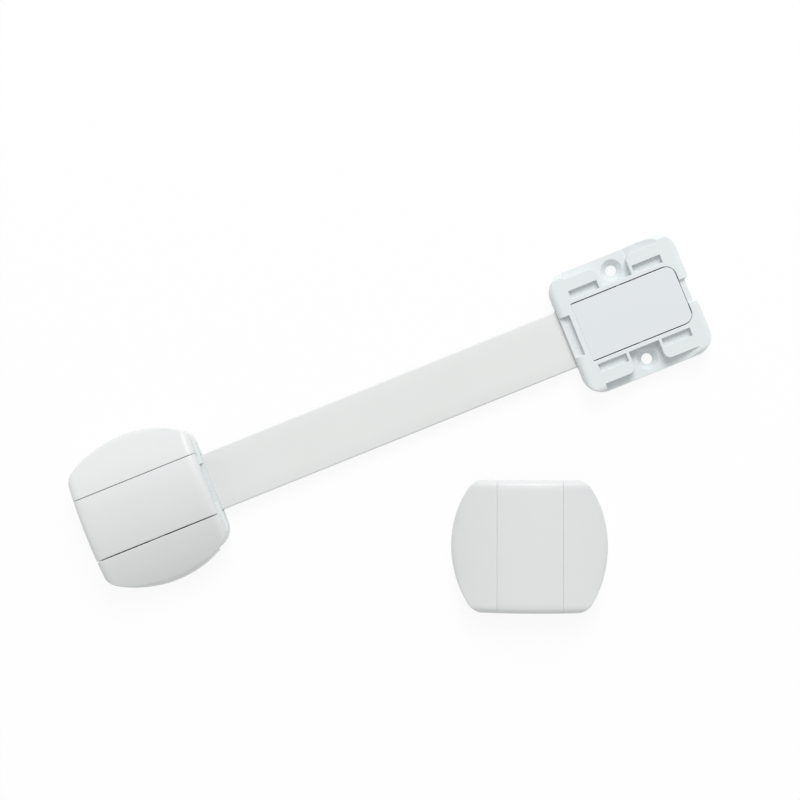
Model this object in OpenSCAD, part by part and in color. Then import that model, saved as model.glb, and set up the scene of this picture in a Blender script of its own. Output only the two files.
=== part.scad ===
// Strap lock for a cabinet door or drawer, in millimetres.
// Two equal latch ends are joined by a flat strap. Each end is a base on a foam pad, with a rocking
// latch that holds the strap's tongue, and a clip-on cover with a push button between its wings.
// An end is drawn in its own frame: +X points away from the strap and Z is 0 under the pad.
// The right end's frame is the frame of the whole part. The right cover lies beside the strap.

/* [Strap] */
// Width of the strap
strap_w = 18.2; // [15:0.1:22]
// Thickness of the strap
strap_t = 1.6; // [1.2:0.1:2]
// Distance between the middles of the two bases
base_pitch = 158; // [120:1:300]
// Radius of the strap's long edges
strap_edge_r = 0.5; // [0.2:0.05:0.55]

/* [Base] */
// Length of a base along the strap
base_l = 41; // [40:0.5:50]
// Height of a base above its pad
base_h = 5.5; // [5.3:0.1:8]
// Thickness of the floor of a base
floor_t = 1.2; // [1:0.1:1.4]
// Width of the flank outside each rail
flank_w = 8.6; // [7.9:0.1:12]
// Height of the low flank round the screw hole
flank_h = 2.4; // [2:0.1:2.6]
// Width of the bar across each end of a base
bar_w = 5.65; // [5.3:0.05:6.3]
// Thickness of the rails beside the latch
rail_t = 1.3; // [1:0.1:2]
// Corner radius of a base
base_r = 6.3; // [4:0.1:7]
// Radius of the upper edges of a base
base_edge_r = 1.9; // [0.6:0.1:2.2]

/* [Leg pockets] */
// Length of the raised block round a pocket
block_l = 10; // [8:0.1:10.5]
// Width of the block outside the rail
block_w = 6.3; // [5:0.1:7]
// Width of a pocket
pocket_w = 2.5; // [2:0.1:3]
// Depth of a pocket
pocket_h = 1.6; // [1.4:0.1:3]

/* [Screw holes] */
// Diameter of a screw hole
screw_d = 3.4; // [2.6:0.1:4]
// Diameter of the countersink
screw_head_d = 6.6; // [5:0.1:7]
// Distance from the rail to the middle of a screw hole
screw_inset = 3.8; // [3.5:0.1:4.5]

/* [Foam pad] */
// Thickness of the foam pad
pad_t = 1; // [0.6:0.1:2]
// How far the pad stays inside the edge of the base
pad_inset = 1.5; // [0.5:0.1:3]

/* [Latch] */
// Thickness of the latch plate
latch_t = 1.7; // [1.4:0.1:1.9]
// Radius of the outer corners of the latch
latch_r = 3; // [2:0.1:5]
// Diameter of the pivot pin
pin_d = 2; // [1.6:0.1:2.4]
// Wall of the latch round the pin
knuckle_wall = 0.95; // [0.7:0.05:1]
// Distance from the pin to the middle of the tooth
tooth_x = 11.6; // [9:0.1:12]
// Length of the tooth along the strap
tooth_l = 2; // [1.4:0.1:3]
// Width of the tooth
tooth_w = 9; // [5:0.1:11]
// Distance from the pin to the spring
spring_x = 9.5; // [7:0.1:11]
// Outer diameter of the spring
spring_d = 5; // [4:0.1:6]
// Diameter of the spring wire
wire_d = 0.45; // [0.3:0.05:0.5]

/* [Cover] */
// Length of the cover along the strap
cover_l = 40; // [39:0.5:42]
// How far the cover reaches past each side of the base
cover_overhang = 4.5; // [4:0.1:7]
// Height of the crown above the base
cover_rise = 6.1; // [5.8:0.1:9]
// Wall of the cover and the button
wall = 1.6; // [1.2:0.1:1.8]
// Fall of the crown from its middle to its sides
crown_fall = 6.7; // [5:0.1:7]
// Bow of each side of the cover between its corners
side_bow = 7; // [5:0.1:9]
// How much the corners of the cover are rounded off
corner_trim = 0.4; // [0.2:0.1:1]
// Radius of the cover's end edges
end_r = 2.2; // [1.9:0.1:2.6]
// Place of the cover that is taken off, along the strap
loose_x = -54.5; // [-130:0.5:0]
// Place of the cover that is taken off, across the strap
loose_y = -54; // [-100:0.5:-50]
// Turn of the cover that is taken off
loose_turn = 68; // [0:1:360]

/* [Button] */
// How far the button reaches past each side of the strap
button_overlap = 0.6; // [0.3:0.1:0.8]
// Travel of the button
travel = 1.4; // [1:0.1:1.5]
// Distance from the pin to the rib that pushes the latch
rib_x = 13; // [11:0.1:14]

/* [Fits] */
// Gap between pieces that move past each other
gap = 0.3; // [0.2:0.05:0.35]
// Gap between faces that rest near each other
rest_gap = 0.1; // [0.05:0.01:0.15]
// Radial clearance of the pin in the latch
pin_fit = 0.05; // [0.02:0.01:0.08]
// Radial clearance of the pin in the base
press_fit = 0.02; // [0.01:0.01:0.04]

/* [Hidden] */
$fn = 64;
overrun = 1;

// Heights
base_z = pad_t;
floor_z = base_z + floor_t;
flank_z = base_z + flank_h;
base_top = base_z + base_h;
strap_z = floor_z + rest_gap;
strap_top = strap_z + strap_t;
knuckle_r = pin_d / 2 + pin_fit + knuckle_wall;
pin_z = floor_z + 2 * rest_gap + knuckle_r;
latch_top = base_top - rest_gap;
latch_z = latch_top - latch_t;

// Plan of a base
well_w = strap_w + 2 * gap;
rail_y = well_w / 2 + rail_t;
base_w = 2 * (rail_y + flank_w);
bar_x = base_l / 2 - bar_w;
outer_lip = 3.1;
well_end = base_l / 2 - outer_lip;
latch_end = well_end - 2 * rest_gap;
corner_ease = 0.5;
well_r = latch_r + corner_ease;
block_r = 2.1;
block_wall = 0.9;
pocket_l = block_l - block_wall;
pocket_y = rail_y + pocket_w / 2;
pocket_z = base_top - pocket_h;
ramp_l = 10;
ramp_end = bar_x + 0.8;
screw_y = rail_y + screw_inset;
notch_w = 7.6;
notch_d = 1.5;
notch_r = 0.6;
notch_drop = 0.9;
shoulder_r = 0.8;

// Window in the strap-side bar, with a low lip outside it
window_w = 12.8;
window_l = 1.7;
window_lip = 1.5;
window_lip_drop = 1.3;
window_floor_t = 0.6;
window_z = strap_top + gap + window_floor_t;

// Lip of the latch that covers the joint with the strap-side bar
lip_l = 0.8;
lip_t = 0.6;
latch_edge_r = 0.6;

// Tongue of the strap and the tooth that holds it
tooth_bite_share = 0.62;
tooth_z = strap_top - strap_t * tooth_bite_share;
tooth_ramp_share = 0.6;
tooth_play = 0.4;
tongue_gap = 1.5;
tongue_tip = knuckle_r + tongue_gap;
tongue_r = 3;

// Spring and its seats
seat_depth = 0.6;
seat_d = spring_d + 2 * gap;
spring_z = floor_z - seat_depth;
spring_h = latch_z + seat_depth - spring_z - rest_gap;
spring_turns = 3;
turn_rings = 12;
wire_sides = 6;

// Foam pad
pad_r = base_r - pad_inset / 2;
pad_relief = 0.5;

// Cover
cover_w = base_w + 2 * cover_overhang;
rim_lift = 0.4;
rim_z = base_z + rim_lift;
cover_seat = base_top + gap;
crown_top = base_top + cover_rise;
crown_r = (pow(cover_w / 2, 2) + pow(crown_fall, 2)) / (2 * crown_fall);
side_r = (pow(cover_l / 2, 2) + pow(side_bow, 2)) / (2 * side_bow);
side_offset = side_r - cover_w / 2;
corner_r = max(norm([cover_l / 2, cover_w / 2 - side_bow]) - corner_trim, cover_w / 2);
least_r = 0.2;
web_t = 1.2;
crossbar_l = 3;
crossbar_t = 0.9;
crossbar_top = cover_seat + crossbar_t;
ledge_w = 2 * gap;
leg_l = pocket_l - 2 * gap;
leg_t = pocket_w - 2 * gap;
leg_z = pocket_z + gap + rest_gap;
tab_z = window_z + gap + rest_gap;

// Button
button_w = strap_w + 2 * button_overlap;
slot_w = button_w + 2 * gap;
skirt_z = crossbar_top + travel + gap + rest_gap;
rib_t = 1.6;
rib_w = 10;
rib_z = latch_top + 2 * rest_gap;
ear_l = 5;
ear_t = 0.9;
ear_y = slot_w / 2 + web_t - 2 * rest_gap;

shell_white = [0.93, 0.94, 0.94];
strap_white = [0.91, 0.92, 0.91];
foam_white = [0.86, 0.87, 0.86];
steel = [0.72, 0.73, 0.75];

// Places of the three groups

module left_end() {
    translate([-base_pitch, 0, 0]) rotate([0, 0, 180]) children();
}

module taken_off() {
    translate([loose_x, loose_y, -rim_z]) rotate([0, 0, loose_turn]) children();
}

// Shared shapes

// Extrudes a YZ profile along X, evenly about the middle
module along_x(length) {
    rotate([90, 0, 90]) linear_extrude(length, center = true) children();
}

// Extrudes an XZ profile along Y, evenly about the middle
module across_y(width) {
    rotate([90, 0, 0]) linear_extrude(width, center = true) children();
}

// Box between two corners
module span(low, high) {
    translate(low) cube(high - low);
}

// Rectangle with round corners
module round_plate(length, width, radius) {
    square([length - 2 * radius, width], center = true);
    square([length, width - 2 * radius], center = true);
    for (sx = [-1, 1], sy = [-1, 1])
        translate([sx * (length / 2 - radius), sy * (width / 2 - radius)]) circle(radius);
}

// Rectangle that is round at its two corners towards +X
module round_end_plate(x_low, x_high, width, radius) {
    translate([x_low, -width / 2]) square([x_high - radius - x_low, width]);
    translate([x_low, radius - width / 2]) square([x_high - x_low, width - 2 * radius]);
    for (sy = [-1, 1])
        translate([x_high - radius, sy * (width / 2 - radius)]) circle(radius);
}

// Bar profile with round upper corners, standing on a level below the base
module edge_profile(width) {
    low = base_z - overrun;
    translate([-width / 2, low]) square([width, base_top - base_edge_r - low]);
    translate([base_edge_r - width / 2, low]) square([width - 2 * base_edge_r, base_top - low]);
    for (s = [-1, 1])
        translate([s * (width / 2 - base_edge_r), base_top - base_edge_r]) circle(base_edge_r);
}

// Both mirrored copies across the strap
module both_sides() {
    children();
    mirror([0, 1, 0]) children();
}

// All four mirrored copies
module four_corners() {
    both_sides() {
        children();
        mirror([1, 0, 0]) children();
    }
}

// Base

// Plan of the notch in the outer edge, with a round shoulder at each side
module notch_plan() {
    round_plate(2 * notch_d, notch_w, notch_r);
    for (s = [0, 1]) mirror([0, s]) translate([-shoulder_r, notch_w / 2]) difference() {
        square(shoulder_r);
        translate([0, shoulder_r]) circle(shoulder_r);
    }
}

module base_form() {
    intersection() {
        translate([0, 0, base_z]) linear_extrude(base_h) difference() {
            round_plate(base_l, base_w, base_r);
            translate([base_l / 2, 0]) notch_plan();
        }
        across_y(base_w + 2 * overrun) edge_profile(base_l);
        along_x(base_l + 2 * overrun) edge_profile(base_w);
    }
}

// Room of the latch, open above, with the joint that its lip covers
module latch_well() {
    translate([0, 0, floor_z]) linear_extrude(base_h)
        round_end_plate(-bar_x, well_end, well_w, well_r);
    span([-bar_x - lip_l, -well_w / 2, latch_top - lip_t - gap],
         [overrun - bar_x, well_w / 2, base_top + overrun]);
}

// Way of the strap under the bar
module strap_channel() {
    span([-base_l / 2 - overrun, -well_w / 2, floor_z], [overrun - bar_x, well_w / 2, strap_top + gap]);
}

// Low flank between the bars, with the two pocket blocks left standing
module flank_plan() {
    block_x = bar_x - block_l;
    reach = ramp_end - block_x + overrun;
    difference() {
        translate([-bar_x, rail_y]) square([bar_x + ramp_end, flank_w + overrun]);
        for (s = [0, 1]) mirror([s, 0]) {
            translate([block_x, rail_y - overrun]) square([reach, overrun + block_w - block_r]);
            translate([block_x + block_r, rail_y]) square([reach - block_r, block_w]);
            translate([block_x + block_r, rail_y + block_w - block_r]) circle(block_r);
        }
    }
}

// The flank runs level from the strap-side bar and climbs to the outer bar
module flank_cut() {
    intersection() {
        translate([0, 0, flank_z]) linear_extrude(base_h) flank_plan();
        across_y(2 * base_w) polygon([
            [-bar_x - overrun, flank_z - overrun],
            [ramp_end - ramp_l, flank_z - overrun],
            [ramp_end - ramp_l, flank_z],
            [ramp_end, base_top],
            [ramp_end, base_top + overrun],
            [-bar_x - overrun, base_top + overrun]
        ]);
    }
}

module pocket_cut() {
    span([bar_x - pocket_l, pocket_y - pocket_w / 2, pocket_z],
         [bar_x, pocket_y + pocket_w / 2, base_top + overrun]);
}

module screw_cut() {
    sink = (screw_head_d - screw_d) / 2;
    translate([0, screw_y, 0]) {
        cylinder(h = base_top, d = screw_d);
        translate([0, 0, flank_z - sink]) cylinder(h = sink, d1 = screw_d, d2 = screw_head_d);
    }
}

// Window for the cover's tab, and the lower lip outside it
module window_cut() {
    x_low = window_lip - base_l / 2;
    span([x_low, -window_w / 2, window_z], [x_low + window_l, window_w / 2, base_top + overrun]);
    span([-base_l / 2 - overrun, -window_w / 2, base_top - window_lip_drop],
         [x_low + overrun, window_w / 2, base_top + overrun]);
}

// Lower floor between the latch and the notch in the outer edge
module notch_cut() {
    span([latch_end, -notch_w / 2, base_top - notch_drop],
         [base_l / 2 + overrun, notch_w / 2, base_top + overrun]);
}

module base() {
    color(shell_white) difference() {
        base_form();
        latch_well();
        strap_channel();
        both_sides() flank_cut();
        four_corners() pocket_cut();
        both_sides() screw_cut();
        window_cut();
        notch_cut();
        translate([0, 0, pin_z]) rotate([90, 0, 0])
            cylinder(h = 2 * (rail_y + overrun), d = pin_d + 2 * press_fit, center = true);
        translate([spring_x, 0, spring_z]) cylinder(h = base_h, d = seat_d);
    }
}

module pad() {
    color(foam_white) linear_extrude(pad_t) difference() {
        round_plate(base_l - 2 * pad_inset, base_w - 2 * pad_inset, pad_r);
        for (s = [-1, 1])
            translate([0, s * screw_y]) circle(screw_head_d / 2 + pad_relief);
    }
}

// Latch

// Tooth with a ramp that lets the tongue lift it on the way in
module tooth() {
    ramp = tooth_l * tooth_ramp_share;
    across_y(tooth_w) polygon([
        [-tooth_x - tooth_l / 2, latch_z + latch_t / 2],
        [-tooth_x - tooth_l / 2, tooth_z + ramp],
        [-tooth_x - tooth_l / 2 + ramp, tooth_z],
        [-tooth_x + tooth_l / 2, tooth_z],
        [-tooth_x + tooth_l / 2, latch_z + latch_t / 2]
    ]);
}

// Plate of the latch, with a round upper edge at its outer end
module latch_plate() {
    x_low = gap - bar_x;
    x_round = latch_end - latch_edge_r;
    intersection() {
        translate([0, 0, latch_z]) linear_extrude(latch_t)
            round_end_plate(x_low, latch_end, strap_w, latch_r);
        across_y(strap_w + 2 * overrun) {
            translate([x_low - overrun, latch_z - overrun])
                square([x_round - x_low + overrun, latch_t + 2 * overrun]);
            translate([x_low, latch_z - overrun])
                square([latch_end - x_low, latch_t + overrun - latch_edge_r]);
            translate([x_round, latch_top - latch_edge_r]) circle(latch_edge_r);
        }
    }
}

module latch() {
    color(shell_white) difference() {
        union() {
            latch_plate();
            span([press_fit - bar_x - lip_l, -strap_w / 2, latch_top - lip_t],
                 [gap - bar_x + lip_l, strap_w / 2, latch_top]);
            translate([0, 0, pin_z]) rotate([90, 0, 0])
                cylinder(h = strap_w, r = knuckle_r, center = true);
            tooth();
        }
        translate([0, 0, pin_z]) rotate([90, 0, 0])
            cylinder(h = strap_w + 2 * overrun, d = pin_d + 2 * pin_fit, center = true);
        translate([spring_x, 0, latch_z - overrun]) cylinder(h = seat_depth + overrun, d = seat_d);
    }
}

module pivot() {
    color(steel) translate([0, 0, pin_z]) rotate([90, 0, 0])
        cylinder(h = 2 * rail_y, d = pin_d, center = true);
}

// Spring: a round wire swept along a helix

function coil_point(turn, side) =
    let(
        radius = (spring_d - wire_d) / 2 + wire_d / 2 * cos(360 * side / wire_sides),
        rise = wire_d / 2 * sin(360 * side / wire_sides),
        climb = (spring_h - wire_d) * turn / spring_turns
    )
    [radius * cos(360 * turn), radius * sin(360 * turn), wire_d / 2 + climb + rise];

module spring() {
    rings = spring_turns * turn_rings;
    points = [for (i = [0 : rings], k = [0 : wire_sides - 1]) coil_point(i / turn_rings, k)];
    sides = [for (i = [0 : rings - 1], k = [0 : wire_sides - 1])
        let(a = i * wire_sides + k, b = i * wire_sides + (k + 1) % wire_sides)
        each [[a, b, b + wire_sides], [a, b + wire_sides, a + wire_sides]]];
    first = [for (k = [1 : wire_sides - 2]) [0, k + 1, k]];
    last = [for (k = [1 : wire_sides - 2]) [for (v = [0, k, k + 1]) rings * wire_sides + v]];
    color(steel) translate([spring_x, 0, spring_z]) polyhedron(points, concat(sides, first, last));
}

// Cover and button

// Half of the turned crown's section: a bar with round outer corners
module crown_section(inset) {
    radius = crown_r - inset;
    length = cover_l - 2 * inset;
    edge = max(end_r - inset, least_r);
    translate([0, -length / 2]) square([radius - edge, length]);
    translate([0, edge - length / 2]) square([radius, length - 2 * edge]);
    for (s = [-1, 1])
        translate([radius - edge, s * (length / 2 - edge)]) circle(edge);
}

// Crown: turned about a line along the strap, so that its ends are rounded all the way across
module crown(inset) {
    translate([0, 0, crown_top - crown_r]) rotate([0, 90, 0]) rotate_extrude() crown_section(inset);
}

// Outline of the cover: two bowed sides and straight ends, with the corners rounded off by a circle
module cover_plan(inset) {
    intersection() {
        translate([0, -side_offset]) circle(side_r - inset);
        translate([0, side_offset]) circle(side_r - inset);
        circle(corner_r - inset);
        square([cover_l - 2 * inset, cover_w], center = true);
    }
}

// Outer form of the cover, or the room inside it
module cover_form(inset) {
    low = inset > 0 ? rim_z - overrun : rim_z;
    intersection() {
        crown(inset);
        translate([0, 0, low]) linear_extrude(crown_top) cover_plan(inset);
    }
}

// Shell over the base, open below, cut away where the base stands
module cover_shell() {
    difference() {
        cover_form(0);
        cover_form(wall);
        span([-base_l, -base_w / 2 - gap, rim_z - overrun], [base_l, base_w / 2 + gap, cover_seat]);
    }
}

// Wall beside the button with a ledge under the seam, and the two legs that go into the pockets
module wing_ribs() {
    rib_end = cover_l / 2 - wall / 2;
    span([-rib_end, slot_w / 2, cover_seat], [rib_end, slot_w / 2 + web_t, crown_top]);
    span([-rib_end, slot_w / 2 - ledge_w, cover_seat], [rib_end, slot_w / 2 + web_t, crossbar_top]);
    for (s = [0, 1]) mirror([s, 0, 0])
        span([bar_x - gap - leg_l, pocket_y - leg_t / 2, leg_z],
             [bar_x - gap, pocket_y + leg_t / 2, crown_top]);
}

// Bars that join the wings under the button, and the tab for the window in the base.
// The strap-side bar reaches as far as the tab that it carries.
module crossbars() {
    tab_x = window_lip + gap - base_l / 2;
    tab_end = tab_x + window_l - 2 * gap;
    crossbar_x = cover_l / 2 - wall / 2;
    crossbar_y = slot_w / 2 + web_t / 2;
    span([crossbar_x - crossbar_l, -crossbar_y, cover_seat], [crossbar_x, crossbar_y, crossbar_top]);
    span([min(tab_x, -crossbar_x), -crossbar_y, cover_seat],
         [max(tab_end, crossbar_l - crossbar_x), crossbar_y, crossbar_top]);
    span([tab_x, gap - window_w / 2, tab_z], [tab_end, window_w / 2 - gap, crossbar_top]);
}

module cover() {
    color(shell_white) difference() {
        union() {
            cover_shell();
            intersection() {
                cover_form(wall / 2);
                both_sides() wing_ribs();
            }
            crossbars();
        }
        span([-base_l, -slot_w / 2, crossbar_top], [base_l, slot_w / 2, crown_top + overrun]);
        span([-ear_l / 2 - gap, -slot_w / 2 - web_t - overrun, crossbar_top],
             [ear_l / 2 + gap, slot_w / 2 + web_t + overrun, skirt_z + ear_t + 2 * rest_gap]);
    }
}

module button() {
    inner_w = button_w - 2 * wall;
    color(shell_white) {
        difference() {
            intersection() {
                crown(0);
                span([-base_l, -button_w / 2, skirt_z], [base_l, button_w / 2, crown_top + overrun]);
            }
            intersection() {
                crown(wall);
                span([-base_l, -inner_w / 2, skirt_z - overrun], [base_l, inner_w / 2, crown_top]);
            }
        }
        span([rib_x - rib_t / 2, -rib_w / 2, rib_z], [rib_x + rib_t / 2, rib_w / 2, crown_top - wall / 2]);
        both_sides()
            span([-ear_l / 2, inner_w / 2, skirt_z], [ear_l / 2, ear_y, skirt_z + ear_t]);
    }
}

// Strap

// Opening in the tongue for the tooth of the latch
module tooth_window() {
    span([-tooth_x - tooth_l / 2 - tooth_play, -tooth_w / 2 - tooth_play, strap_z - overrun],
         [-tooth_x + tooth_l / 2 + tooth_play, tooth_w / 2 + tooth_play, strap_top + overrun]);
}

module strap() {
    length = base_pitch - 2 * tongue_tip;
    color(strap_white) difference() {
        translate([-base_pitch / 2, 0, 0]) intersection() {
            translate([0, 0, strap_z]) linear_extrude(strap_t) round_plate(length, strap_w, tongue_r);
            translate([0, 0, strap_z + strap_t / 2]) along_x(length + 2 * overrun)
                round_plate(strap_w, strap_t, strap_edge_r);
        }
        tooth_window();
        left_end() tooth_window();
    }
}

// Pieces in their places

module right_base() { base(); }
module right_pad() { pad(); }
module right_latch() { latch(); }
module right_pivot() { pivot(); }
module right_spring() { spring(); }
module right_cover() { taken_off() cover(); }
module right_button() { taken_off() button(); }
module left_base() { left_end() base(); }
module left_pad() { left_end() pad(); }
module left_latch() { left_end() latch(); }
module left_pivot() { left_end() pivot(); }
module left_spring() { left_end() spring(); }
module left_cover() { left_end() cover(); }
module left_button() { left_end() button(); }

strap();
right_base();
right_pad();
right_latch();
right_pivot();
right_spring();
right_cover();
right_button();
left_base();
left_pad();
left_latch();
left_pivot();
left_spring();
left_cover();
left_button();
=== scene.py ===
# %% [markdown]
# # A strap lock for a cabinet
# The lock is a flat strap between two latch ends. The left end wears its cover, the right end is open,
# and the cover of the right end lies beside the strap. The CAD frame brings every piece in its place,
# in metres, so this lesson only adds what a render needs: a camera, light, smooth covers and finishes.

import bmesh
import bpy
import numpy as np
from mathutils import Matrix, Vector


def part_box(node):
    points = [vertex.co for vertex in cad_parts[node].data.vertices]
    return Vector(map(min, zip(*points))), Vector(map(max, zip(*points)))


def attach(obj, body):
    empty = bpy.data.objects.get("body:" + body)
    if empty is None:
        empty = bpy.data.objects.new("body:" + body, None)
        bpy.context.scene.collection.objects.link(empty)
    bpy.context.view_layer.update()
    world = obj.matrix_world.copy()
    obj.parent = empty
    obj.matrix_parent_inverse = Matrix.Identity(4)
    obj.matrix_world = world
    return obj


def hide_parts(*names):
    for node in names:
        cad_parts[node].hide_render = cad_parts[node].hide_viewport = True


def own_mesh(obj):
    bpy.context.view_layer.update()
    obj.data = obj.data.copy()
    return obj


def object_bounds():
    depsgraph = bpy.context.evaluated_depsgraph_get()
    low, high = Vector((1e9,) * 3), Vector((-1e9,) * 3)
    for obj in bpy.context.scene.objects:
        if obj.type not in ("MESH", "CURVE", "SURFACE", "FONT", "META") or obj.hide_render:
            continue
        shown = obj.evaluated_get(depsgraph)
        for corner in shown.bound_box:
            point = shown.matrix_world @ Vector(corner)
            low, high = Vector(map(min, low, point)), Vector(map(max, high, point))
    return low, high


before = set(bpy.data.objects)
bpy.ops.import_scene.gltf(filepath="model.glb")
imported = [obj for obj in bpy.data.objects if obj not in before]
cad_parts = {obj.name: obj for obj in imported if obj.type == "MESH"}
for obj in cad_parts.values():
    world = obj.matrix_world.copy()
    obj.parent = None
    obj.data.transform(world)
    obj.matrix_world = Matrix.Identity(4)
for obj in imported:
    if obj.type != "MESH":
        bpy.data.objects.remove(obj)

cad_box = [list(corner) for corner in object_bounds()]
MM = 0.001
scene = bpy.context.scene
scene.view_settings.view_transform = "Standard"
print("CAD box in mm:", np.round(np.array(cad_box) / MM, 2).tolist())

# %% [markdown]
# ## Camera
# The photograph looks almost straight down, with the strap rising to the right. The camera could be turned
# by eye, but three vectors say it exactly: where it stands, where it looks and which way is up in the image.
# The two other axes follow from cross products.

# %% Camera
CAMERA_PLACE = np.array([-60.05, -18.88, 500.0]) * MM
LOOK = np.array([-0.02906, 0.0417, -0.99871])
IMAGE_UP = np.array([0.37359, 0.92718, 0.02784])
IMAGE_PX, FOCAL_PX, SENSOR = 800, 1627.1, 36.0
NEAREST, FARTHEST = 0.01, 20.0


def unit(vector):
    """The vector divided by its own length."""
    return vector / np.linalg.norm(vector)


def stand(axes, place):
    """Turn and place in one matrix: the three axes are its first columns, and the place is its last."""
    matrix = np.eye(4)
    matrix[:3, :3] = np.column_stack(axes)
    matrix[:3, 3] = place
    return Matrix(matrix.tolist())


back = unit(-LOOK)
image_right = unit(np.cross(IMAGE_UP, back))
image_up = np.cross(back, image_right)
camera = bpy.data.objects.new("camera", bpy.data.cameras.new("camera"))
camera.data.sensor_width = SENSOR
camera.data.lens = FOCAL_PX * SENSOR / IMAGE_PX
camera.data.clip_start, camera.data.clip_end = NEAREST, FARTHEST
camera.matrix_world = stand([image_right, image_up, back], CAMERA_PLACE)
scene.collection.objects.link(camera)
scene.camera = camera
print("lens in mm:", round(camera.data.lens, 2))

# %% [markdown]
# ## Nodes in few words
# Every material below is a small graph. A helper that adds a node, sets its plain values and joins its
# inputs keeps each graph readable as a list of what feeds what. Sums and noise come up most, so each has a
# helper that gives the output at once.

# %% Node helpers
def add_node(tree, kind, inputs=None, **settings):
    """Adds a node. A socket among the inputs becomes a link, and any other value is set on its socket."""
    node = tree.nodes.new(kind)
    for key, value in settings.items():
        setattr(node, key, value)
    for key, value in (inputs or {}).items():
        if isinstance(value, bpy.types.NodeSocket):
            tree.links.new(value, node.inputs[key])
        else:
            node.inputs[key].default_value = value
    return node


def maths(tree, operation, *values):
    """Result of one arithmetic step on numbers or sockets."""
    return add_node(tree, "ShaderNodeMath", dict(enumerate(values)), operation=operation).outputs[0]


def noise(tree, place, scale, detail):
    """Soft noise between 0 and 1 over the place, with about scale waves to a metre and finer ones in them."""
    node = add_node(tree, "ShaderNodeTexNoise", {"Vector": place, "Scale": scale, "Detail": detail})
    return node.outputs["Fac"]


def new_tree(data):
    """Turns a material or world into an empty node graph."""
    data.use_nodes = True
    data.node_tree.nodes.clear()
    return data.node_tree


print("node helpers:", [helper.__name__ for helper in (add_node, maths, noise, new_tree)])

# %% [markdown]
# ## Floor
# The photograph has a plain white ground. A floor that is only white would turn grey in its own shading, so
# what the camera sees of it is mostly a white glow of strength 1, mixed with a matte surface that keeps the
# lock's soft shadow. Every other ray meets the matte surface, so the floor still bounces light as paper does.

# %% Floor
FLOOR_SIZE = 6.0
FLOOR_DROP = 0.05 * MM
GLOW_SHARE = 0.9
PAPER, WHITE = (0.93, 0.93, 0.93, 1.0), (1.0, 1.0, 1.0, 1.0)

paper = bpy.data.materials.new("paper")
tree = new_tree(paper)
ray = add_node(tree, "ShaderNodeLightPath").outputs
seen = maths(tree, "MAXIMUM", ray["Is Camera Ray"], ray["Is Glossy Ray"])
seen = maths(tree, "MAXIMUM", seen, ray["Is Transmission Ray"])
share = maths(tree, "MULTIPLY", seen, GLOW_SHARE)
matte = add_node(tree, "ShaderNodeBsdfDiffuse", {"Color": PAPER})
glow = add_node(tree, "ShaderNodeEmission", {"Color": WHITE, "Strength": 1.0})
mixed = add_node(tree, "ShaderNodeMixShader", {0: share, 1: matte.outputs[0], 2: glow.outputs[0]})
add_node(tree, "ShaderNodeOutputMaterial", {"Surface": mixed.outputs[0]})

corner = FLOOR_SIZE / 2
floor_mesh = bpy.data.meshes.new("floor")
floor_mesh.from_pydata([(-corner, -corner, -FLOOR_DROP), (corner, -corner, -FLOOR_DROP),
                        (corner, corner, -FLOOR_DROP), (-corner, corner, -FLOOR_DROP)], [], [(0, 1, 2, 3)])
floor_mesh.materials.append(paper)
floor = bpy.data.objects.new("floor", floor_mesh)
scene.collection.objects.link(floor)
print("floor of", FLOOR_SIZE, "m")

# %% [markdown]
# ## Light
# The shading in the photograph says where the light stands: the wing towards the top of the image is bright
# and the one below is darker, but left and right are alike. One large soft lamp stands on that side, and an
# even world fills the shadows. Together they light a level white surface to about 1, so colours stay as
# written.

# %% Light
LAMP_TURN, LAMP_HEIGHT = np.radians(84.0), np.radians(46.0)
LAMP_DISTANCE, LAMP_SIZE = 2.4, 1.3
LAMP_POWER, FILL = 36.1, 0.573

towards = np.cos(LAMP_TURN) * image_right + np.sin(LAMP_TURN) * image_up
towards[2] = 0.0
towards *= np.cos(LAMP_HEIGHT) / np.linalg.norm(towards)
towards[2] = np.sin(LAMP_HEIGHT)
beside = unit(np.cross([0.0, 0.0, 1.0], towards))
lamp_place = np.mean(cad_box, axis=0) + towards * LAMP_DISTANCE
lamp = bpy.data.objects.new("soft_lamp", bpy.data.lights.new("soft_lamp", "AREA"))
lamp.data.size, lamp.data.energy = LAMP_SIZE, LAMP_POWER
lamp.matrix_world = stand([beside, np.cross(towards, beside), towards], lamp_place)
scene.collection.objects.link(lamp)

world = bpy.data.worlds.new("white_room")
tree = new_tree(world)
ray = add_node(tree, "ShaderNodeLightPath").outputs
level = add_node(tree, "ShaderNodeMapRange", {"Value": ray["Is Camera Ray"], "To Min": FILL, "To Max": 1.0})
room = add_node(tree, "ShaderNodeBackground", {"Color": WHITE, "Strength": level.outputs[0]})
add_node(tree, "ShaderNodeOutputWorld", {"Surface": room.outputs[0]})
scene.world = world
print("lamp at", np.round(lamp_place, 3).tolist())

# %% [markdown]
# ## Moulded plastic
# Bases, latches, covers and strap are white injection-moulded plastic with a fine satin texture from the
# mould. A flat white would look like chalk. This shared group gives what the real skin varies in: a faint
# cloudiness of tone, patches that are a little glossier, and the grain of the eroded mould as a height.

# %% Moulded skin group
CLOUD_SCALE, PATCH_SCALE = 45.0, 260.0
COLOUR, VALUE = "NodeSocketColor", "NodeSocketFloat"


def group_tree(name, inputs, outputs):
    """Makes a node group with the named sockets and returns it with its two end nodes."""
    tree = bpy.data.node_groups.new(name, "ShaderNodeTree")
    for socket, kind in inputs:
        tree.interface.new_socket(socket, in_out="INPUT", socket_type=kind)
    for socket, kind in outputs:
        tree.interface.new_socket(socket, in_out="OUTPUT", socket_type=kind)
    return tree, tree.nodes.new("NodeGroupInput"), tree.nodes.new("NodeGroupOutput")


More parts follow.
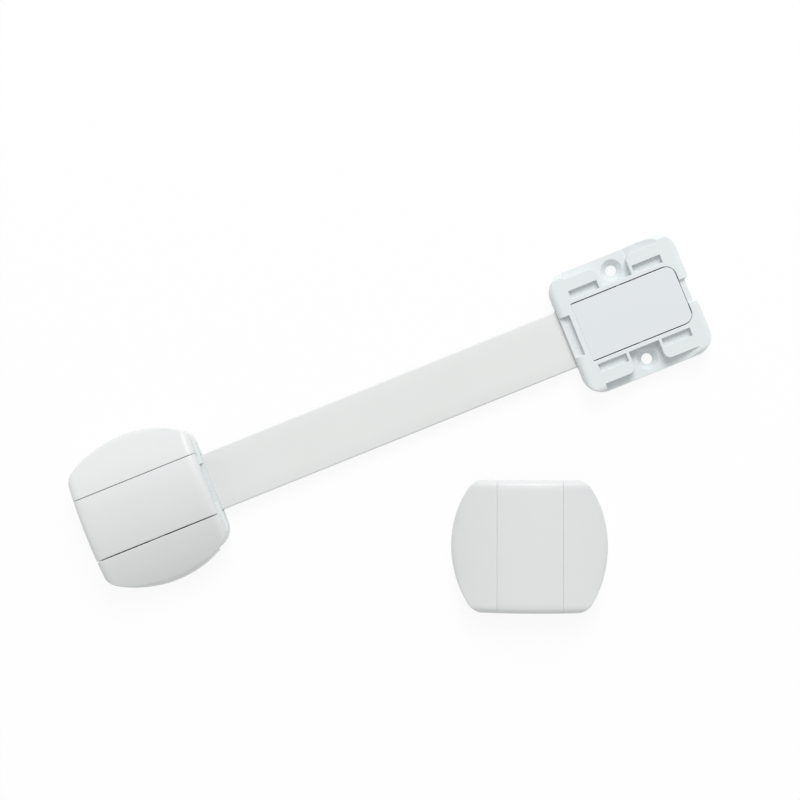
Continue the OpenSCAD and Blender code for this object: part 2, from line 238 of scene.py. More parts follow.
skin, given, result = group_tree(
    "moulded_skin",
    [("Colour", COLOUR), ("Cloud", VALUE), ("Roughness", VALUE), ("Gloss spread", VALUE),
     ("Grain scale", VALUE)],
    [("Colour", COLOUR), ("Roughness", VALUE), ("Height", VALUE)])
given = given.outputs
place = add_node(skin, "ShaderNodeTexCoord").outputs["Object"]
dim = maths(skin, "MULTIPLY", noise(skin, place, CLOUD_SCALE, 3.0), given["Cloud"])
tone = maths(skin, "SUBTRACT", 1.0, dim)
toned = add_node(skin, "ShaderNodeVectorMath", {0: given["Colour"], "Scale": tone}, operation="SCALE")
swing = maths(skin, "SUBTRACT", noise(skin, place, PATCH_SCALE, 4.0), 0.5)
swung = maths(skin, "MULTIPLY_ADD", swing, given["Gloss spread"], given["Roughness"])
grain = noise(skin, place, given["Grain scale"], 2.0)
for socket, output in {"Colour": toned.outputs[0], "Roughness": swung, "Height": grain}.items():
    skin.links.new(output, result.inputs[socket])
print("group", skin.name, "with", len(skin.nodes), "nodes")

# %% [markdown]
# ## Four whites
# The mouldings share that skin in four slightly different whites. Bases and latches show their CAD solids,
# whose corners are sharper than a mould leaves them. A modifier could bevel them, but a CAD mesh stays as it
# is, so a Bevel node rounds only the shading there.

# %% Plastics
GRAIN_HEIGHT = 0.002 * MM
MOULD_EDGE, LATCH_EDGE, EDGE_RAYS = 0.3 * MM, 0.12 * MM, 8


def shade(tree, bump, inputs):
    """Joins a Principled surface with these inputs and the bump's normal to the material's output."""
    shader = add_node(tree, "ShaderNodeBsdfPrincipled", {**inputs, "Normal": bump.outputs[0]})
    add_node(tree, "ShaderNodeOutputMaterial", {"Surface": shader.outputs[0]})


def plastic(name, colour, cloud=0.03, roughness=0.42, gloss_spread=0.14, grain_scale=3200.0, edge=0.0):
    """Satin moulded plastic. With an edge radius, a CAD solid's corners catch light as rounded ones do."""
    material = bpy.data.materials.new(name)
    tree = new_tree(material)
    skinned = add_node(tree, "ShaderNodeGroup", {
        "Colour": (*colour, 1.0), "Cloud": cloud, "Roughness": roughness,
        "Gloss spread": gloss_spread, "Grain scale": grain_scale}, node_tree=skin).outputs
    bump = add_node(tree, "ShaderNodeBump", {"Height": skinned["Height"], "Distance": GRAIN_HEIGHT})
    if edge:
        rounded = add_node(tree, "ShaderNodeBevel", {"Radius": edge}, samples=EDGE_RAYS)
        tree.links.new(rounded.outputs[0], bump.inputs["Normal"])
    shade(tree, bump, {"Base Color": skinned["Colour"], "Roughness": skinned["Roughness"],
                       "IOR": 1.49, "Specular IOR Level": 0.5})
    return material


base_white = plastic("base_white", (0.774, 0.814, 0.822), edge=MOULD_EDGE)
latch_white = plastic("latch_white", (0.758, 0.794, 0.812), edge=LATCH_EDGE)
cover_white = plastic("cover_white", (0.755, 0.77, 0.772), roughness=0.38)
strap_white = plastic("strap_white", (0.78, 0.795, 0.785), roughness=0.46, grain_scale=2200.0)
print("plastics:", [made.name for made in (base_white, latch_white, cover_white, strap_white)])

# %% [markdown]
# ## Drawn steel
# The pins and springs are plain drawn steel. They are mostly hidden, but a lifted cover or a view from below
# shows some of them. One even grey would look like plastic, so the tone, the gloss and the height follow a
# noise that is stretched along the pins, as fine drawing lines are.

# %% Drawn steel
STREAK_SCALE, STREAK_STRETCH, STREAK_HEIGHT = 9000.0, (1.0, 0.08, 1.0), 0.002 * MM
STEEL_DARK, STEEL_PALE = (0.52, 0.53, 0.55, 1.0), (0.68, 0.69, 0.70, 1.0)
STEEL_ROUGHNESS = 0.22, 0.42


def tinted(tree, share, first, second):
    """Colour between two tints, by the share of the second one."""
    return add_node(tree, "ShaderNodeMix", {0: share, 6: first, 7: second}, data_type="RGBA").outputs[2]


def drawn_steel(name):
    """Bright drawn wire: a metal whose roughness and tone follow fine streaks."""
    material = bpy.data.materials.new(name)
    tree = new_tree(material)
    place = add_node(tree, "ShaderNodeTexCoord").outputs["Object"]
    drawn = add_node(tree, "ShaderNodeMapping", {"Vector": place, "Scale": STREAK_STRETCH})
    streak = noise(tree, drawn.outputs[0], STREAK_SCALE, 3.0)
    rough = add_node(tree, "ShaderNodeMapRange", {
        "Value": streak, "To Min": STEEL_ROUGHNESS[0], "To Max": STEEL_ROUGHNESS[1]})
    tint = tinted(tree, streak, STEEL_DARK, STEEL_PALE)
    bump = add_node(tree, "ShaderNodeBump", {"Height": streak, "Distance": STREAK_HEIGHT})
    shade(tree, bump, {"Base Color": tint, "Roughness": rough.outputs[0], "Metallic": 1.0})
    return material


wire_steel = drawn_steel("wire_steel")
print("made", wire_steel.name)

# %% [markdown]
# ## Foam
# The pads are closed-cell foam tape, matte and full of small bubbles. Each bubble could be a dent in the
# mesh, but there are thousands. A Voronoi pattern has cells of that size all over, and the distance to the
# middle of a cell serves as tone and as height.

# %% Cell foam
CELL_SCALE, CELL_HEIGHT = 2600.0, 0.06 * MM
FOAM_DARK, FOAM_PALE = (0.66, 0.67, 0.66, 1.0), (0.74, 0.75, 0.74, 1.0)


def cell_foam(name):
    """Closed-cell foam: round cells press up between thin walls, with the tone following the cells."""
    material = bpy.data.materials.new(name)
    tree = new_tree(material)
    place = add_node(tree, "ShaderNodeTexCoord").outputs["Object"]
    cells = add_node(tree, "ShaderNodeTexVoronoi", {"Vector": place, "Scale": CELL_SCALE}).outputs["Distance"]
    tint = tinted(tree, cells, FOAM_DARK, FOAM_PALE)
    bump = add_node(tree, "ShaderNodeBump", {"Height": cells, "Distance": CELL_HEIGHT}, invert=True)
    shade(tree, bump, {"Base Color": tint, "Roughness": 0.9, "Specular IOR Level": 0.25})
    return material


foam_white = cell_foam("foam_white")
print("made", foam_white.name)

# %% [markdown]
# ## Surfaces from numbers
# The covers, buttons, strap, pads and springs are made again here with softer edges than their CAD solids.
# Each is a closed profile carried through a row of stations, so one array holds all its points, stations by
# profile points. A loft by hand could give the same shapes, but in arrays every radius stays a number.

# %% Closed solids
MERGE = 1e-4 * MM


def swept(rings):
    """Tube solid: quads join points k and k+1 of ring i to those of ring i+1, and polygons close the ends."""
    rows, cols = rings.shape[:2]
    index = np.arange(rows * cols).reshape(rows, cols)
    after = np.roll(index, -1, axis=1)
    quads = np.stack([index[:-1], after[:-1], after[1:], index[1:]], axis=-1).reshape(-1, 4)
    return rings.reshape(-1, 3), quads.tolist() + [index[0, ::-1].tolist(), index[-1].tolist()]


def closed_mesh(points, faces):
    """Mesh in metres from points in mm: doubles merged, empty faces dropped and all faces turned outwards."""
    part = bpy.data.meshes.new("part")
    part.from_pydata((points * MM).tolist(), [], faces)
    shape = bmesh.new()
    shape.from_mesh(part)
    bmesh.ops.remove_doubles(shape, verts=shape.verts, dist=MERGE)
    bmesh.ops.dissolve_degenerate(shape, dist=MERGE, edges=shape.edges)
    bmesh.ops.recalc_face_normals(shape, faces=shape.faces)
    if shape.calc_volume(signed=True) < 0.0:
        bmesh.ops.reverse_faces(shape, faces=shape.faces)
    shape.to_mesh(part)
    shape.free()
    return part


print("points closer than", MERGE / MM, "mm are merged")

# %% [markdown]
# ## From solids to a piece
# A moulding is often several simple solids in one, such as a wing with its bars and legs. They could be cut
# and welded, but solids that sink into each other look the same and stay clean.

# %% Pieces
SHARP = np.radians(32.0)


def make_piece(name, solids, material, node, body):
    """Joins closed solids into one smooth piece that stands for a CAD node and rides on its body."""
    joined = bmesh.new()
    for points, faces in solids:
        part = closed_mesh(points, faces)
        joined.from_mesh(part)
        bpy.data.meshes.remove(part)
    mesh = bpy.data.meshes.new(name)
    joined.to_mesh(mesh)
    joined.free()
    mesh.polygons.foreach_set("use_smooth", np.ones(len(mesh.polygons), dtype=bool))
    mesh.set_sharp_from_angle(angle=SHARP)
    mesh.materials.append(material)
    piece = bpy.data.objects.new(name, mesh)
    scene.collection.objects.link(piece)
    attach(piece, body)
    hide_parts(node)
    print(name, "has", len(mesh.polygons), "faces")
    return piece


print("edges stay sharp from", round(np.degrees(SHARP)), "degrees")

# %% [markdown]
# ## Places of the two covers
# An end of the lock is drawn in its own frame, with +X away from the strap. The left end is that frame turned
# half round at the other end of the strap. The loose cover lies on its rim beside the strap, turned by 68
# degrees. A turn about Z and a shift say both. The shifts, and all outer sizes below, come from the boxes of
# the CAD pieces, so a changed part brings its new sizes along.

# %% Places
def box_mm(node):
    """Lowest and highest corner of a CAD piece at rest, in mm, to a tenth."""
    return np.round(np.array([list(corner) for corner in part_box(node)]) / MM, 1)


PITCH = -np.mean(box_mm("left_base"), axis=0)[0]
RIM = box_mm("left_cover")[0, 2]
LOOSE_SPOT = (*np.mean(box_mm("right_cover"), axis=0)[:2], -RIM)
LOOSE_TURN = np.radians(68.0)


def turned(points, angle, shift):
    """Turns points about Z by the angle, then shifts them."""
    cos, sin = np.cos(angle), np.sin(angle)
    spin = np.array([[cos, -sin, 0.0], [sin, cos, 0.0], [0.0, 0.0, 1.0]])
    return points @ spin.T + np.array(shift)


PLACES = {"right": (LOOSE_TURN, LOOSE_SPOT), "left": (np.pi, (-PITCH, 0.0, 0.0))}


def at_place(end, solids):
    """Moves solids from an end's own frame to their place in the lock."""
    return [(turned(points, *PLACES[end]), faces) for points, faces in solids]


print("pitch", PITCH, "loose cover at", np.round(LOOSE_SPOT, 2).tolist())

# %% [markdown]
# ## Wings of a cover
# Each cover is one moulding with two domed wings. Seen along the strap, the dome is a wide arc that turns
# down in a soft edge at the side, and inside it is hollow with an even wall. A wing is made as that thick
# section, carried along X. Its width follows the bowed side of the cover, and near the ends it sinks along a
# quarter circle.

# %% Outline and dome
COVER_L, COVER_W = np.ptp(box_mm("left_cover"), axis=0)[:2]
CROWN_TOP, CROWN_FALL = box_mm("left_button")[1, 2], 6.7
SIDE_BOW, CORNER_TRIM, CORNER_BLEND = 7.0, 0.4, 6.0
WALL, END_R = 1.6, 2.2
CROWN_R = ((COVER_W / 2) ** 2 + CROWN_FALL ** 2) / (2 * CROWN_FALL)
CROWN_Z = CROWN_TOP - CROWN_R
SIDE_R = ((COVER_L / 2) ** 2 + SIDE_BOW ** 2) / (2 * SIDE_BOW)
CORNER_R = np.hypot(COVER_L / 2, COVER_W / 2 - SIDE_BOW) - CORNER_TRIM


def half_width(x):
    """Half width of the cover: the lesser of side arc and corner circle, blended softly where they meet."""
    side = np.sqrt(SIDE_R ** 2 - x ** 2) - SIDE_R + COVER_W / 2
    corner = np.sqrt(CORNER_R ** 2 - x ** 2)
    return -np.logaddexp(-CORNER_BLEND * side, -CORNER_BLEND * corner) / CORNER_BLEND


def end_sink(x):
    """How far the crown has sunk at x: a quarter circle of END_R at each end, and nothing between."""
    past = np.clip(np.abs(x) - COVER_L / 2 + END_R, 0.0, END_R)
    return END_R - np.sqrt(END_R ** 2 - past ** 2)


print("cover", COVER_L, "by", COVER_W, "with radii of crown, side and corner",
      np.round([CROWN_R, SIDE_R, CORNER_R], 2).tolist())

# %% [markdown]
# ## Stations and sections
# A section is written as a list of arcs and single points, and each of them has a row for every station along
# X. Stations lie close together on the sinking ends and further apart between. Where the section steps, two
# stations share one x, so the step is a clean wall.

# %% Stations and sections
END_ROWS, END_FROM, END_TO = 9, 90.0, 16.0


def end_stations():
    """Stations on the sinking quarter circle, from the cover's end inwards, at even steps of its angle."""
    return COVER_L / 2 - END_R + END_R * np.sin(np.radians(np.linspace(END_FROM, END_TO, END_ROWS)))


def both_ways(steps):
    """Stations of all steps from an end to the middle and out again, each with the number of its step."""
    x = np.concatenate(steps)
    kind = np.repeat(np.arange(len(steps)), [len(step) for step in steps])
    return np.concatenate([x, -x[-2::-1]])[:, None], np.concatenate([kind, kind[-2::-1]])[:, None]


def arc(centre_y, centre_z, radius, start, end, count):
    """Points on a circle from one angle to another, one row for each station."""
    angle = start + (end - start) * np.linspace(0.0, 1.0, count)
    y, z = centre_y + radius * np.cos(angle), centre_z + radius * np.sin(angle)
    return np.stack(np.broadcast_arrays(y, z), axis=-1)


def spot(y, z):
    """One point of the section, one row for each station."""
    return np.stack(np.broadcast_arrays(np.atleast_2d(y), z), axis=-1)


def along(x, parts):
    """Joins the parts of a section and adds each station's x."""
    section = np.concatenate([np.broadcast_to(part, (len(x), part.shape[1], 2)) for part in parts], axis=1)
    return np.concatenate([np.broadcast_to(x[:, :, None], section.shape[:2] + (1,)), section], axis=-1)


print("end stations:", np.round(end_stations(), 2).tolist())

# %% [markdown]
# ## One wing
# Beside the base a wing has a skirt down to its rim. Towards the ends it stops above the base, the very ends
# are solid, and in the middle it leaves room for an ear of the button. All four kinds of section have the
# same number of points, so they sweep into one solid. The side edge is soft in the middle and tighter at the
# corners.

# %% Wing stations
GAP = 0.3
BASE_END, BASE_SIDE, BASE_TOP = box_mm("right_base")[1]
SEAT, BASE_ROOM = BASE_TOP + GAP, BASE_SIDE + GAP
SKIRT_END = np.sqrt(SIDE_R ** 2 - (SIDE_R - COVER_W / 2 + BASE_ROOM) ** 2) - 3 * GAP
EAR_ROOM, EAR_TOP = 2.8, 10.2
HOLLOW_ROWS, SKIRT_ROWS, EAR_ROWS = 6, 14, 4
SOLID, SKIRTED, EAR_OPEN = 0, 2, 3


def wing_stations():
    """Stations along a wing, doubled where its section steps: solid, hollow, skirted, open for an ear."""
    ends = end_stations()
    return both_ways([ends, np.linspace(ends[-1], SKIRT_END, HOLLOW_ROWS),
                      np.linspace(SKIRT_END, EAR_ROOM, SKIRT_ROWS), np.linspace(EAR_ROOM, 0.0, EAR_ROWS)])


print("wing stations:", len(wing_stations()[0]))

# %% Wing section
SLOT, WEB = 9.95, 11.2
SEAM_EDGE, RIM_EDGE, SINK_IN = 0.2, 0.3, 0.1
RIM_SOFT, CORNER_SOFT, SOFT_RUN, END_DRAW = 3.2, 0.8, 9.0, 0.6
SEAM_POINTS, CROWN_POINTS, SIDE_POINTS, RIM_POINTS, ROOF_POINTS = 6, 26, 12, 5, 14


def wing():
    """Thick section along X: seam wall, seam edge, crown arc, soft side edge, skirt, and the same inside."""
    x, kind = wing_stations()
    sink = end_sink(x)
    radius = CROWN_R - sink
    edge = half_width(x) - END_DRAW * sink
    ease = np.clip((SKIRT_END - np.abs(x)) / SOFT_RUN, 0.0, 1.0)
    soft = CORNER_SOFT + (RIM_SOFT - CORNER_SOFT) * ease * ease * (3.0 - 2.0 * ease)
    low = np.where(kind >= SKIRTED, RIM, SEAT)
    web_low = np.where(kind == EAR_OPEN, EAR_TOP, np.where(kind == SOLID, SEAT, SEAT + 2 * SINK_IN))
    seam_z = CROWN_Z + np.sqrt((radius - SEAM_EDGE) ** 2 - (SLOT + SEAM_EDGE) ** 2)
    side_z = CROWN_Z + np.sqrt((radius - soft) ** 2 - (edge - soft) ** 2)
    seam_turn = np.arctan2(seam_z - CROWN_Z, SLOT + SEAM_EDGE)
    side_turn = np.arctan2(side_z - CROWN_Z, edge - soft)
    skirt_in = np.maximum(edge - WALL, np.minimum(edge - RIM_EDGE, BASE_ROOM))
    inside = radius - WALL
    roof_turn = np.arctan2(np.sqrt(inside ** 2 - (edge - WALL) ** 2), edge - WALL)
    web_turn = np.arctan2(np.sqrt(inside ** 2 - WEB ** 2), WEB)
    roof = arc(0.0, CROWN_Z, inside, roof_turn, web_turn, ROOF_POINTS)
    roof_low = np.where((kind == EAR_OPEN) & (roof[..., 0] < WEB + WALL / 2), EAR_TOP, SEAT)
    roof[..., 1] = np.where(kind == SOLID, SEAT, np.maximum(roof[..., 1], roof_low))
    return swept(along(x, [
        spot(SLOT, web_low), spot(SLOT, seam_z),
        arc(SLOT + SEAM_EDGE, seam_z, SEAM_EDGE, np.pi, seam_turn, SEAM_POINTS)[:, 1:],
        arc(0.0, CROWN_Z, radius, seam_turn, side_turn, CROWN_POINTS)[:, 1:-1],
        arc(edge - soft, side_z, soft, side_turn, 0.0, SIDE_POINTS),
        arc(edge - RIM_EDGE, low + RIM_EDGE, RIM_EDGE, 0.0, -np.pi / 2, RIM_POINTS),
        spot(skirt_in, low), spot(skirt_in, SEAT), roof, spot(WEB, web_low)]))


def mirrored(solid):
    """The same solid on the other side of the strap."""
    points, faces = solid
    return points * np.array([1.0, -1.0, 1.0]), faces


print("a wing has", len(wing()[0]), "points")

# %% [markdown]
# ## Clips under a cover
# Under the wings are the parts that hold the cover: two bars that join the wings below the button, ledges
# under the seams, four legs for the pockets of the base and a tab for its window. All are plain bars with
# mould rounding, so one function draws any of them: a round-cornered rectangle carried upwards and drawn in
# at both ends. Where two bars meet, one sinks a little into the other, because faces in one plane would
# flicker in a render.

# %% Bars
BAR_EDGE = 0.25
QUARTER = np.radians(np.linspace(0.0, 90.0, 5))


def round_bar(low, high):
    """Bar between two corners: rings of a rectangle, drawn in along a quarter circle at each end."""
    rise = BAR_EDGE * (1.0 - np.cos(QUARTER))
    radius = np.concatenate([BAR_EDGE * np.sin(QUARTER), BAR_EDGE * np.sin(QUARTER[::-1])])[:, None]
    height = np.concatenate([low[2] + rise, high[2] - rise[::-1]])[:, None]
    angle = (QUARTER + np.pi / 2 * np.arange(4)[:, None]).reshape(-1)
    centre_x = np.repeat(np.where([1, 0, 0, 1], high[0] - BAR_EDGE, low[0] + BAR_EDGE), len(QUARTER))
    centre_y = np.repeat(np.where([1, 1, 0, 0], high[1] - BAR_EDGE, low[1] + BAR_EDGE), len(QUARTER))
    x = centre_x + radius * np.cos(angle)
    y = centre_y + radius * np.sin(angle)
    return swept(np.stack(np.broadcast_arrays(x, y, height), axis=-1))


print("a bar's edge radius in mm:", BAR_EDGE)

# %% Clips and covers
LEG_INSET, LEG_Y, LEG_LOW, LEG_HIGH = (14.45, 5.95), (11.0, 12.9), 5.3, 9.6
TAB_INSET, TAB_Y, TAB_LOW = (1.8, 2.9), 6.1, 5.2
BAR_INSET, BAR_TOP, LEDGE_Y = (3.8, 0.8), 7.7, (9.4, 11.1)
LEG_X = [BASE_END - inset for inset in LEG_INSET]
TAB_X = [inset - BASE_END for inset in TAB_INSET]
BAR_X = [COVER_L / 2 - inset for inset in BAR_INSET]


def cover_clips():
    """Bars, tab, ledges and legs, each between two corners in the cover's own frame."""
    foot = SEAT + SINK_IN / 2
    across = [round_bar((BAR_X[0], -LEDGE_Y[1], foot), (BAR_X[1], LEDGE_Y[1], BAR_TOP)),
              round_bar((-BAR_X[1], -LEDGE_Y[1], foot), (-BAR_X[0], LEDGE_Y[1], BAR_TOP)),
              round_bar((TAB_X[0], -TAB_Y, TAB_LOW), (TAB_X[1], TAB_Y, BAR_TOP - SINK_IN))]
    one_side = [round_bar((SINK_IN - BAR_X[1], LEDGE_Y[0], SEAT + SINK_IN),
                          (BAR_X[1] - SINK_IN, LEDGE_Y[1] - SINK_IN, BAR_TOP - SINK_IN)),
                round_bar((LEG_X[0], LEG_Y[0], LEG_LOW), (LEG_X[1], LEG_Y[1], LEG_HIGH)),
                round_bar((-LEG_X[1], LEG_Y[0], LEG_LOW), (-LEG_X[0], LEG_Y[1], LEG_HIGH))]
    return across + one_side + [mirrored(solid) for solid in one_side]


half = wing()
cover = [half, mirrored(half)] + cover_clips()
for end in PLACES:
    make_piece(end + "_wings", at_place(end, cover),
               cover_white, end + "_cover", end + "_cover")

# %% [markdown]
# ## Buttons
# The panel between the wings is the button. It has the crown of the wings, so the seams are its only edges,
# and below it are a rib that pushes the latch and two ears that stop it in the cover. The same section idea
# serves: two seam walls under one arc, hollow between them. On its base a cover is spread a little by the
# legs in their pockets, so the seams of the left one are wider than those of the loose one, and its button
# has slid to one side.

# %% Button
BUTTON = {"right": (9.94, 0.0), "left": (9.69, -0.09)}
SKIRT_Z = 9.5
PANEL_ROWS, PANEL_POINTS, PANEL_ROOF_POINTS = 12, 32, 16


def panel(half, slide):
    """Section along X, slid in Y: up one seam wall, over the crown, down the other, back under the roof."""
    ends = end_stations()
    x, kind = both_ways([ends, np.linspace(ends[-1], 0.0, PANEL_ROWS)])
    radius = CROWN_R - end_sink(x)
    seam_z = CROWN_Z + np.sqrt((radius - SEAM_EDGE) ** 2 - (half - SEAM_EDGE) ** 2)
    turn = np.arctan2(seam_z - CROWN_Z, half - SEAM_EDGE)
    inside = radius - WALL
    roof_turn = np.arctan2(np.sqrt(inside ** 2 - (half - WALL) ** 2), half - WALL)
    roof = arc(0.0, CROWN_Z, inside, roof_turn, np.pi - roof_turn, PANEL_ROOF_POINTS)
    roof[..., 1] = np.where(kind == SOLID, SKIRT_Z, roof[..., 1])
    rings = along(x, [
        spot(-half, SKIRT_Z), arc(SEAM_EDGE - half, seam_z, SEAM_EDGE, np.pi, np.pi - turn, SEAM_POINTS),
        arc(0.0, CROWN_Z, radius, np.pi - turn, turn, PANEL_POINTS)[:, 1:-1],
        arc(half - SEAM_EDGE, seam_z, SEAM_EDGE, turn, 0.0, SEAM_POINTS), spot(half, SKIRT_Z),
        spot(half - WALL, SKIRT_Z), roof, spot(WALL - half, SKIRT_Z)])
    rings[..., 2] = np.maximum(rings[..., 2], SKIRT_Z)
    rings[..., 1] += slide
    return swept(rings)


print("half width and slide of each panel:", BUTTON)

# %% [markdown]
# ## Rib and ears
# The rib reaches down to the latch, on the far side of its pin from the strap, and the ears reach under the
# wings, so the spring can't push the button out. All are the plain bars of the clips again, sunk into the
# panel.

# %% Rib, ears and buttons
RIB_X, RIB_Y, RIB_LOW, RIB_HIGH = (12.2, 13.8), 5.0, 6.6, 11.6
EAR_X, EAR_Y, EAR_T = 2.5, (8.0, 11.0), 0.65


def button_stops():
    """Rib above the latch and the two ears."""
    ear = round_bar((-EAR_X, EAR_Y[0], SKIRT_Z + SINK_IN), (EAR_X, EAR_Y[1], SKIRT_Z + EAR_T))
    return [round_bar((RIB_X[0], -RIB_Y, RIB_LOW), (RIB_X[1], RIB_Y, RIB_HIGH)), ear, mirrored(ear)]


for end in PLACES:
    make_piece(end + "_panel", at_place(end, [panel(*BUTTON[end])] + button_stops()),
               cover_white, end + "_button", end + "_button")

# %% [markdown]
# ## Strap
# The strap is a flat moulded band with round edges. Its two tongues have round corners and a window that the
# tooth of a latch drops into. It is one section carried along X and narrowed at the tips by a quarter circle.
# It hangs a hair lower in the middle, as a free band does.

# %% Strap section
STRAP_W, STRAP_T = np.ptp(box_mm("strap"), axis=0)[1:]
STRAP_EDGE, STRAP_Z = 0.5, box_mm("strap")[0, 2]
TIP, TIP_R = -box_mm("strap")[1, 0], 3.0
WINDOW_X, WINDOW_Y = (10.2, 13.0), 4.9
TONGUE_TO, FREE_FROM, SAG = 18.0, 24.0, 0.35
TIP_ROWS, FREE_ROWS, EDGE_POINTS = 8, 40, 6


def strap_rings():
    """Round-edged flat section along X, with a sine-squared sag between the bases and round tips."""
    tip = TIP + TIP_R * (1.0 - np.cos(np.radians(np.linspace(0.0, 90.0, TIP_ROWS))))
    free = np.linspace(FREE_FROM, PITCH - FREE_FROM, FREE_ROWS)
    near = np.concatenate([tip, WINDOW_X, [TONGUE_TO]])
    x = -np.concatenate([near, free, PITCH - near[::-1]])[:, None]
    into = np.clip(np.minimum(-x, PITCH + x) - TIP, 0.0, TIP_R)
    half = STRAP_W / 2 - TIP_R + np.sqrt(np.maximum(TIP_R ** 2 - (TIP_R - into) ** 2, 0.0))
    run = np.clip((-x - FREE_FROM) / (PITCH - 2.0 * FREE_FROM), 0.0, 1.0)
    low = STRAP_Z - SAG * np.sin(np.pi * run) ** 2
    high = low + STRAP_T
    quarter = np.pi / 2
    right, left = half - STRAP_EDGE, STRAP_EDGE - half
    return along(x, [
        spot(-WINDOW_Y, low), spot(WINDOW_Y, low),
        arc(right, low + STRAP_EDGE, STRAP_EDGE, -quarter, 0.0, EDGE_POINTS),
        arc(right, high - STRAP_EDGE, STRAP_EDGE, 0.0, quarter, EDGE_POINTS),
        spot(WINDOW_Y, high), spot(-WINDOW_Y, high),
        arc(left, high - STRAP_EDGE, STRAP_EDGE, quarter, 2 * quarter, EDGE_POINTS),
        arc(left, low + STRAP_EDGE, STRAP_EDGE, 2 * quarter, 3 * quarter, EDGE_POINTS)])


print("strap sections by points:", strap_rings().shape[:2])

# %% [markdown]
# ## Windows in the strap
# A Boolean cut could open the windows. The stations and the section already have points at their corners, so
# it is cleaner to leave out the quads there, below and above, and to put in the four walls of each hole.

# %% Strap with windows
def with_windows(rings):
    """Tube solid without the quads under and over each window, and with the four walls of each hole."""
    points, faces = swept(rings)
    rows, cols = rings.shape[:2]
    # a section has points 0 and 1 under a window, and two more over it after the arcs of one edge
    over = 2 + 2 * EDGE_POINTS
    near = np.array([[TIP_ROWS], [rows - TIP_ROWS - 2]]) * cols + np.array([0, 1, over, over + 1])
    far = near + cols
    sides = np.stack([near[:, :2], far[:, :2], far[:, :1:-1], near[:, :1:-1]], axis=-1).reshape(-1, 4)
    holes = set(near[:, ::2].reshape(-1).tolist())
    kept = [face for number, face in enumerate(faces) if number not in holes]
    return points, kept + near.tolist() + far.tolist() + sides.tolist()


make_piece("strap_band", [with_windows(strap_rings())], strap_white, "strap", "lock")

# %% [markdown]
# ## Foam pads
# Each base stands on a pad of foam tape, cut away round the screws. A foam edge that was cut and pressed on
# bulges a little and has no sharp corner, so the outline is carried through a soft-edged thickness profile.
# The outline is four corner arcs with two hollow arcs. The tape is pressed flat.

# %% Pads
PAD_L, PAD_W, PAD_T = np.ptp(box_mm("right_pad"), axis=0)
PAD_R, PAD_EDGE, PAD_BULGE = 5.55, 0.3, 0.06
RELIEF_Y, RELIEF_R = 14.5, 3.8
PAD_CORNER_POINTS, RELIEF_POINTS = 9, 33


def pad_outline(inset):
    """Outline drawn in by each ring's inset: corner arcs, and on each long side an arc about the screw."""
    x, y = PAD_L / 2 - PAD_R, PAD_W / 2 - PAD_R
    corner, hollow = PAD_R - inset, RELIEF_R + inset
    lean = np.arcsin((PAD_W / 2 - inset - RELIEF_Y) / hollow)
    quarter = np.pi / 2
    upper = np.concatenate([arc(x, y, corner, 0.0, quarter, PAD_CORNER_POINTS),
                            arc(0.0, RELIEF_Y, hollow, lean, -np.pi - lean, RELIEF_POINTS),
                            arc(-x, y, corner, quarter, 2 * quarter, PAD_CORNER_POINTS)], axis=1)
    return np.concatenate([upper, -upper], axis=1)


def pad_rings(place):
    """Rings of the outline: a flat border, a quarter circle at each edge, and a side that bulges a hair."""
    rise = np.concatenate([[0.0], PAD_EDGE * (1 - np.cos(QUARTER))])
    inset = np.concatenate([[2 * PAD_EDGE], PAD_EDGE * (1 - np.sin(QUARTER))])
    rise, inset = np.concatenate([rise, PAD_T - rise[::-1]]), np.concatenate([inset, inset[::-1]])
    plan = pad_outline((inset - PAD_BULGE * np.sin(np.pi * rise / PAD_T))[:, None])
    height = np.broadcast_to(rise[:, None, None], plan.shape[:2] + (1,))
    return turned(np.concatenate([plan, height], axis=-1), 0.0, place)


for end, middle_x in (("right", 0.0), ("left", -PITCH)):
    pad = make_piece(end + "_foam", [swept(pad_rings((middle_x, 0.0, 0.0)))],
                     foam_white, end + "_pad", "lock")

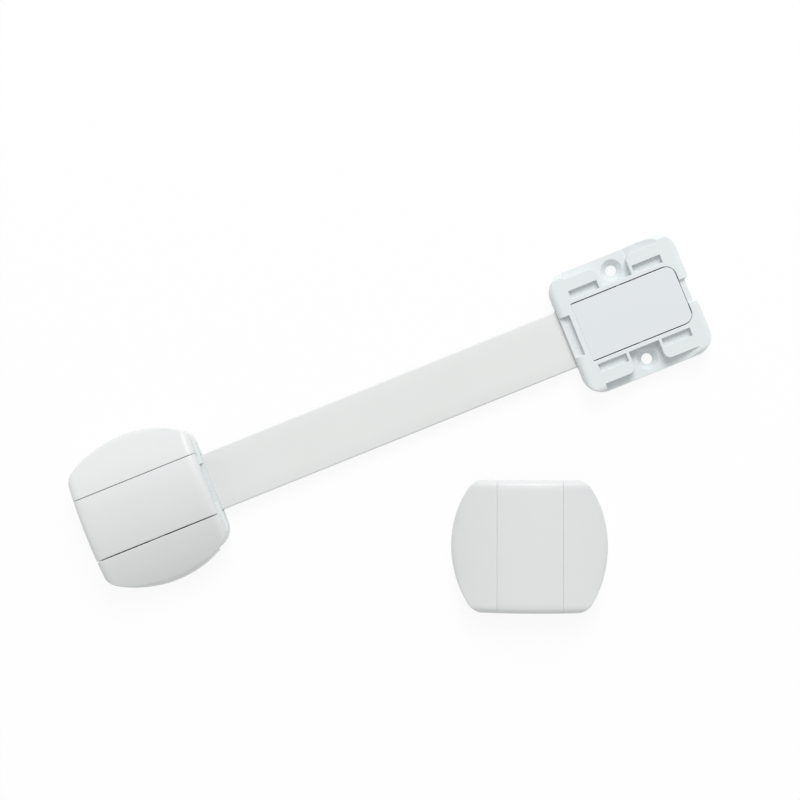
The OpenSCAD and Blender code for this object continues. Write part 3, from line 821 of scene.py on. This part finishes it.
# %% [markdown]
# ## Springs
# A small coil under each latch holds it shut. The wire is a circle carried along a helix, with the first and
# last half turn lying flatter, as coiled springs are closed. The wire ends on the side of the pin, where the
# tilting latch leaves the most room.

# %% Springs
SPRING_X = np.mean(box_mm("right_spring"), axis=0)[0]
SPRING_Z = box_mm("right_spring")[0, 2]
SPRING_D, SPRING_H = np.ptp(box_mm("right_spring"), axis=0)[1:]
WIRE_D, SPRING_TURNS, CLIMB_EASE = 0.45, 3.0, 0.6
WIRE_ROWS, WIRE_SIDES = 181, 12


def coil(centre_x, start):
    """Wire circle along a helix from the start angle. The climb eases at both ends, so they lie flatter."""
    t = np.linspace(0.0, 1.0, WIRE_ROWS)[:, None]
    around = np.linspace(0.0, 2 * np.pi, WIRE_SIDES + 1)[None, :-1]
    angle = start + 2 * np.pi * SPRING_TURNS * t
    climb = t - CLIMB_EASE * np.sin(2 * np.pi * t) / (2 * np.pi)
    reach = (SPRING_D - WIRE_D) / 2 + WIRE_D / 2 * np.cos(around)
    x, y = centre_x + reach * np.cos(angle), reach * np.sin(angle)
    z = SPRING_Z + WIRE_D / 2 + (SPRING_H - WIRE_D) * climb + WIRE_D / 2 * np.sin(around)
    return np.stack(np.broadcast_arrays(x, y, z), axis=-1)


for end, centre_x, start in (("right", SPRING_X, np.pi), ("left", -PITCH - SPRING_X, 0.0)):
    spring = make_piece(end + "_coil", [swept(coil(centre_x, start))],
                        wire_steel, end + "_spring", "lock")
    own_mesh(spring)

# %% [markdown]
# ## Finishes on the CAD pieces that stay
# Bases, latches and pins keep their CAD shape, which is already right, and only get a material. The CAD
# pieces that are hidden behind new ones get the same finish as those.

# %% CAD pieces that stay
NODE_FINISH = {"base": base_white, "latch": latch_white, "pivot": wire_steel, "cover": cover_white,
               "button": cover_white, "pad": foam_white, "spring": wire_steel, "strap": strap_white}
for name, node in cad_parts.items():
    node.data.materials.clear()
    node.data.materials.append(NODE_FINISH[name.split("_")[-1]])
print("finished", len(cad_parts), "CAD pieces")
